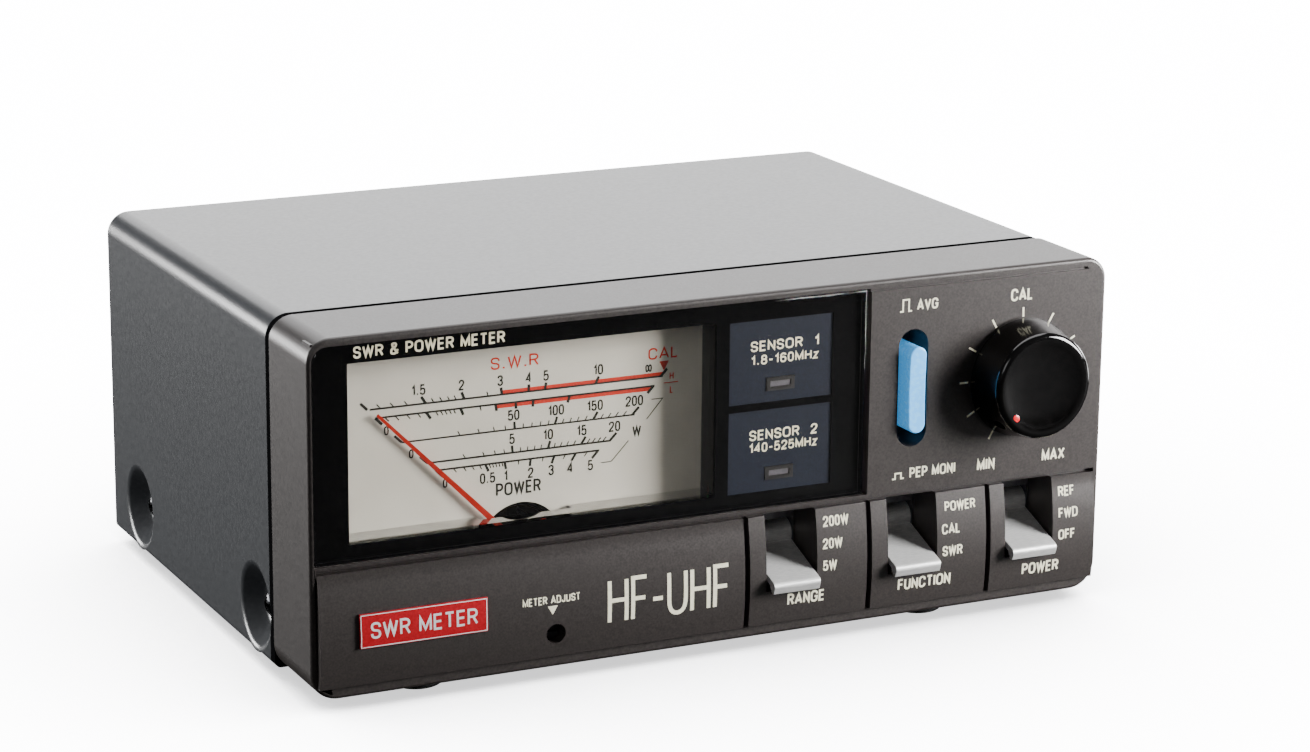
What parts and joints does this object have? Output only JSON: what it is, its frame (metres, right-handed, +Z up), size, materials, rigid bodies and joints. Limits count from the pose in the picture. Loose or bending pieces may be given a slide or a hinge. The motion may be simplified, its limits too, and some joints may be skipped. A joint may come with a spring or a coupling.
{
  "type": "swr meter",
  "caption": "Table-top SWR and power meter with a window meter, knob, push button and three lever switches.",
  "frame": {"origin": "middle of the width and depth, on the surface the feet stand on", "axes": "+X to the right seen from the front, the front faces -Y, +Z up"},
  "size_m": [0.155, 0.1302, 0.0653],
  "materials": {
    "panel_paint": "satin paint with fine metallic flake on moulded plastic",
    "cover_paint": "smooth semi-gloss paint",
    "zinc_sheet": "plain plated sheet",
    "black_steel": "black oxide",
    "plated_steel": "bright plated",
    "foot_rubber": "matt",
    "window_acrylic": "clear polished",
    "black_print": "gloss black print",
    "red_plate": "gloss",
    "navy_film": "satin film",
    "black_plastic": "fine matt",
    "grey_guide": "frosted end",
    "lamp_resin": "diffused resin",
    "meter_acrylic": "clear moulded",
    "dial_print": "matt white enamel",
    "red_pointer": "matt paint",
    "copper": "bare copper",
    "magnet_steel": "ground",
    "brass": "turned",
    "knob_plastic": "polished",
    "pot_case": "stamped",
    "blue_button": "satin moulded",
    "white_plastic": "moulded",
    "lever_metal": "satin plated",
    "frame_metal": "stamped",
    "phenolic": "pressed laminate",
    "circuit_board": "solder mask",
    "tinplate": "tinned",
    "ferrite": "coated ferrite",
    "nickel": "nickel plated",
    "lead_sleeve": "soft sleeve"
  },
  "bodies": {
    "case": {"front_panel": "panel_paint", "top_cover": "cover_paint", "chassis": "zinc_sheet", "cover_screws": "black_steel", "panel_screws": "plated_steel", "rubber_feet": "foot_rubber", "window_lens": "window_acrylic", "window_mask": "black_print", "badge": "red_plate", "sensor1_film": "navy_film", "sensor2_film": "navy_film", "led_frames": "black_plastic", "light_guides": "grey_guide", "band_leds": "lamp_resin", "meter_cover": "meter_acrylic", "meter_housing": "black_plastic", "dial_plate": "dial_print", "core_magnet": "magnet_steel", "iron_yoke": "magnet_steel", "movement_bridges": "brass", "jewel_screws": "brass", "hairsprings": "brass", "dial_lamps": "lamp_resin", "pot_body": "pot_case", "pot_nut": "plated_steel", "push_switch_body": "black_plastic", "button_spring": "plated_steel", "lever_switch_frames": "frame_metal", "lever_switch_bases": "phenolic", "lever_pivot_pins": "plated_steel", "front_board": "circuit_board", "board_screws": "plated_steel", "sensor1_box": "tinplate", "sensor2_box": "tinplate", "sensor_lids": "tinplate", "line_conductors": "copper", "coupler_boards": "circuit_board", "current_transformers": "ferrite", "coax_sockets": "nickel", "coax_insulators": "white_plastic", "coax_contacts": "brass", "socket_screws": "plated_steel", "dc_jack": "black_plastic", "internal_leads": "lead_sleeve"},
    "knob": {"cal_knob": "knob_plastic", "knob_grub_screw": "plated_steel", "pot_shaft": "plated_steel"},
    "button": {"button_cap": "blue_button", "button_plunger": "white_plastic"},
    "range_lever": {"range_lever": "lever_metal"},
    "function_lever": {"function_lever": "lever_metal"},
    "power_lever": {"power_lever": "lever_metal"},
    "range_slider": {"range_slider": "white_plastic"},
    "function_slider": {"function_slider": "white_plastic"},
    "power_slider": {"power_slider": "white_plastic"},
    "movement": {"pointer": "red_pointer", "moving_coil": "copper", "pointer_staff": "plated_steel"},
    "zero_screw": {"zero_screw": "black_plastic"},
    "zero_arm": {"zero_arm": "brass"}
  },
  "joints": [
    {"name": "cal_turn", "type": "hinge", "parent": "case", "child": "knob", "pos_m": [0.06, -0.0569, 0.0446], "axis": [0, -1, 0], "range_deg": [-285, 15]},
    {"name": "button_press", "type": "slide", "parent": "case", "child": "button", "axis": [0, 1, 0], "range_m": [0, 0.0025], "stiffness_N_per_m": 200, "springref_m": -0.002, "deforming": ["button_spring"]},
    {"name": "range_lever_tilt", "type": "hinge", "parent": "case", "child": "range_lever", "pos_m": [0.01305, -0.0466, 0.0178], "axis": [-1, 0, 0], "range_deg": [0, 40]},
    {"name": "range_slider_slide", "type": "slide", "parent": "case", "child": "range_slider", "axis": [0, 0, 1], "range_m": [-0.0028, 0]},
    {"name": "function_lever_tilt", "type": "hinge", "parent": "case", "child": "function_lever", "pos_m": [0.0377, -0.0466, 0.0178], "axis": [-1, 0, 0], "range_deg": [0, 40]},
    {"name": "function_slider_slide", "type": "slide", "parent": "case", "child": "function_slider", "axis": [0, 0, 1], "range_m": [-0.0028, 0]},
    {"name": "power_lever_tilt", "type": "hinge", "parent": "case", "child": "power_lever", "pos_m": [0.0622, -0.0466, 0.0178], "axis": [-1, 0, 0], "range_deg": [0, 40]},
    {"name": "power_slider_slide", "type": "slide", "parent": "case", "child": "power_slider", "axis": [0, 0, 1], "range_m": [-0.0028, 0]},
    {"name": "pointer_swing", "type": "hinge", "parent": "case", "child": "movement", "pos_m": [-0.0353, -0.0489, 0.0222], "axis": [0, 1, 0], "range_deg": [0, 90], "stiffness_Nm_per_rad": 0.0001, "springref_deg": -17.19},
    {"name": "zero_screw_turn", "type": "hinge", "parent": "case", "child": "zero_screw", "pos_m": [-0.0329, -0.0529, 0.0088], "axis": [0, 1, 0], "range_deg": [-45, 45]},
    {"name": "zero_arm_swing", "type": "hinge", "parent": "case", "child": "zero_arm", "pos_m": [-0.0353, -0.0509, 0.0222], "axis": [0, 1, 0], "range_deg": [-4.5, 4.5]}
  ],
  "couplings": [
    {"joint": "range_slider_slide", "follows": "range_lever_tilt", "m_per_rad": -0.0039193},
    {"joint": "function_slider_slide", "follows": "function_lever_tilt", "m_per_rad": -0.0039193},
    {"joint": "power_slider_slide", "follows": "power_lever_tilt", "m_per_rad": -0.0039193},
    {"joint": "zero_arm_swing", "follows": "zero_screw_turn", "ratio": -0.06969}
  ]
}
